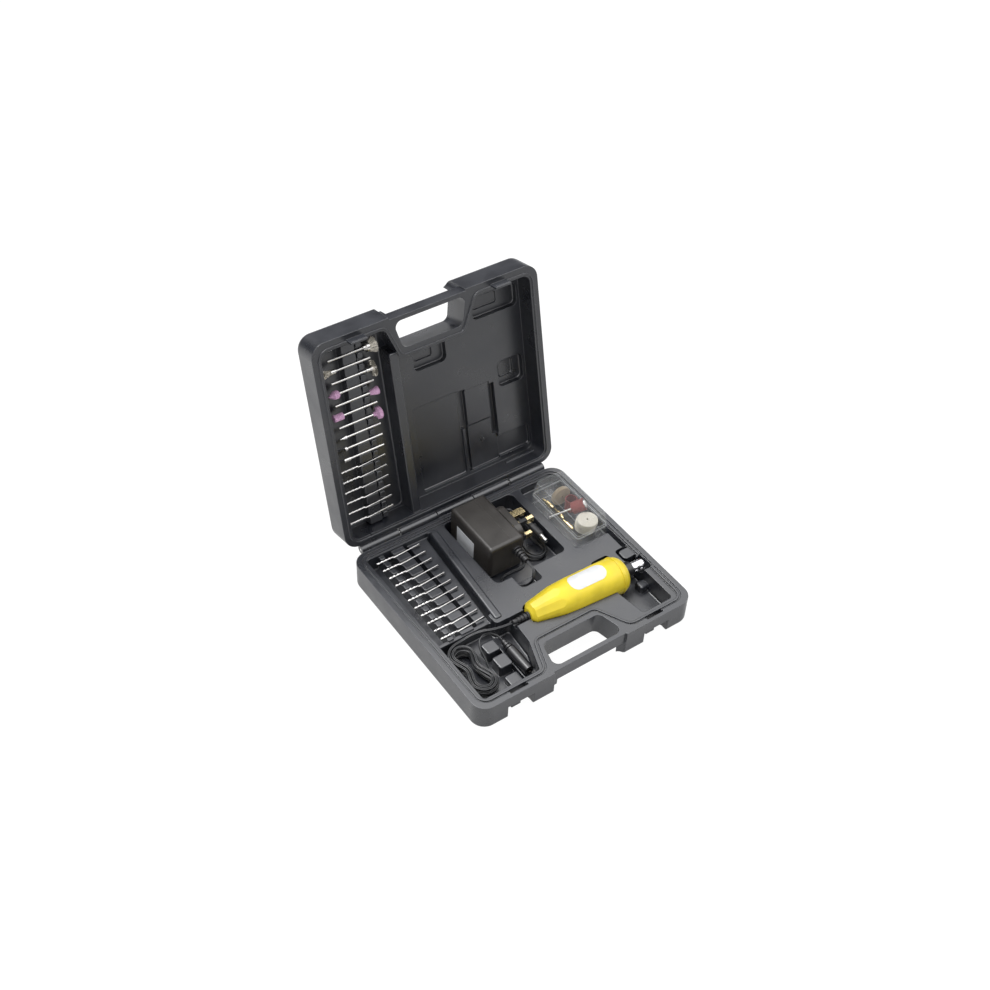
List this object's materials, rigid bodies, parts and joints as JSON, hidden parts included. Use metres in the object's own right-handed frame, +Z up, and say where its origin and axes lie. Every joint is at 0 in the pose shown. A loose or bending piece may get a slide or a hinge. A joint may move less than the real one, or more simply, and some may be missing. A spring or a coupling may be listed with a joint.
{
  "type": "rotary tool kit",
  "caption": "Hinged moulded case holding a low-voltage rotary tool on a lead, a plug-in power adapter, a clear accessory box and racks of small bits.",
  "frame": {"origin": "middle of the case base's underside, on the ground", "axes": "+X along the hinge, to the right as the case faces its user; +Y from the handle to the hinge; +Z up"},
  "size_m": [0.255, 0.3154, 0.256],
  "materials": {
    "case_plastic": "satin, finely textured",
    "yellow_plastic": "semi-gloss",
    "black_plastic": "satin",
    "dark_adapter": "satin",
    "black_rubber": "matte",
    "cord_rubber": "smooth",
    "steel": "bright",
    "nut_chrome": "polished",
    "brass": "polished",
    "copper": "enamelled wire",
    "magnet": "matte",
    "carbon": "matte",
    "label_white": "plain",
    "label_blue": "plain",
    "board": "plain",
    "component": "plain",
    "stone": "granular",
    "bristle": "fine wires",
    "clear": "clear",
    "abrasive": "granular",
    "felt": "felt"
  },
  "bodies": {
    "base": {"case_base": "case_plastic", "hinge_pin": "steel", "base_drills": "steel"},
    "lid": {"case_lid": "case_plastic", "lid_shanks": "steel", "lid_drills": "steel", "brush_hubs": "steel", "brush_bristles": "bristle", "grinding_stones": "stone"},
    "tool": {"tool_housing_top": "yellow_plastic", "tool_housing_bottom": "yellow_plastic", "tool_nose": "yellow_plastic", "housing_screws": "steel", "tool_label": "label_white", "motor_can": "steel", "motor_end_cap": "black_plastic", "motor_magnets": "magnet", "motor_bushes": "brass", "carbon_brushes": "carbon", "front_bearing": "steel", "power_switch": "black_plastic", "tool_strain_relief": "black_rubber", "tool_lead": "cord_rubber", "tool_lead_hank": "cord_rubber", "socket_lead": "cord_rubber", "inline_socket": "black_plastic", "socket_contact": "brass"},
    "slider": {"switch_slider": "black_plastic"},
    "rotor": {"motor_shaft": "steel", "armature_core": "steel", "armature_windings": "copper", "commutator": "copper", "spindle": "black_plastic", "collet": "steel"},
    "nut": {"collet_nut": "nut_chrome"},
    "adapter": {"adapter_case": "dark_adapter", "adapter_cover": "dark_adapter", "transformer_core": "magnet", "transformer_winding": "copper", "rectifier_board": "board", "rectifier_parts": "component", "earth_pin": "brass", "line_pins": "brass", "pin_sleeves": "black_plastic", "adapter_label": "label_blue", "adapter_strain_relief": "black_rubber", "adapter_lead": "cord_rubber", "adapter_lead_hank": "cord_rubber", "barrel_lead": "cord_rubber", "barrel_plug_body": "black_rubber", "barrel_plug_contact": "steel"},
    "box": {"accessory_tray": "clear", "brass_spares": "brass", "sanding_sleeves": "abrasive", "drum_rubber": "black_rubber", "drum_mandrel": "steel", "felt_disc": "felt", "felt_wheels": "felt"},
    "box_lid": {"accessory_lid": "clear"}
  },
  "joints": [
    {"name": "lid_hinge", "type": "hinge", "parent": "base", "child": "lid", "pos_m": [0, 0.119, 0.029], "axis": [-1, 0, 0], "range_deg": [-103, 0]},
    {"name": "tool_lift", "type": "slide", "parent": "base", "child": "tool", "axis": [0, 0, 1], "range_m": [0, 0.06]},
    {"name": "switch_slide", "type": "slide", "parent": "tool", "child": "slider", "axis": [0.9988, -0.0489, 0], "range_m": [0, 0.004]},
    {"name": "spindle_spin", "type": "hinge", "parent": "tool", "child": "rotor", "pos_m": [-0.0208, -0.04088, 0.026], "axis": [0.9988, -0.0489, 0], "continuous": true},
    {"name": "nut_turn", "type": "hinge", "parent": "rotor", "child": "nut", "pos_m": [-0.0208, -0.04088, 0.026], "axis": [0.9988, -0.0489, 0], "range_deg": [0, 360]},
    {"name": "adapter_lift", "type": "slide", "parent": "base", "child": "adapter", "axis": [0, 0, 1], "range_m": [0, 0.06]},
    {"name": "box_lift", "type": "slide", "parent": "base", "child": "box", "axis": [0, 0, 1], "range_m": [0, 0.05]},
    {"name": "box_lid_lift", "type": "slide", "parent": "box", "child": "box_lid", "axis": [0, 0, 1], "range_m": [0, 0.03]}
  ]
}
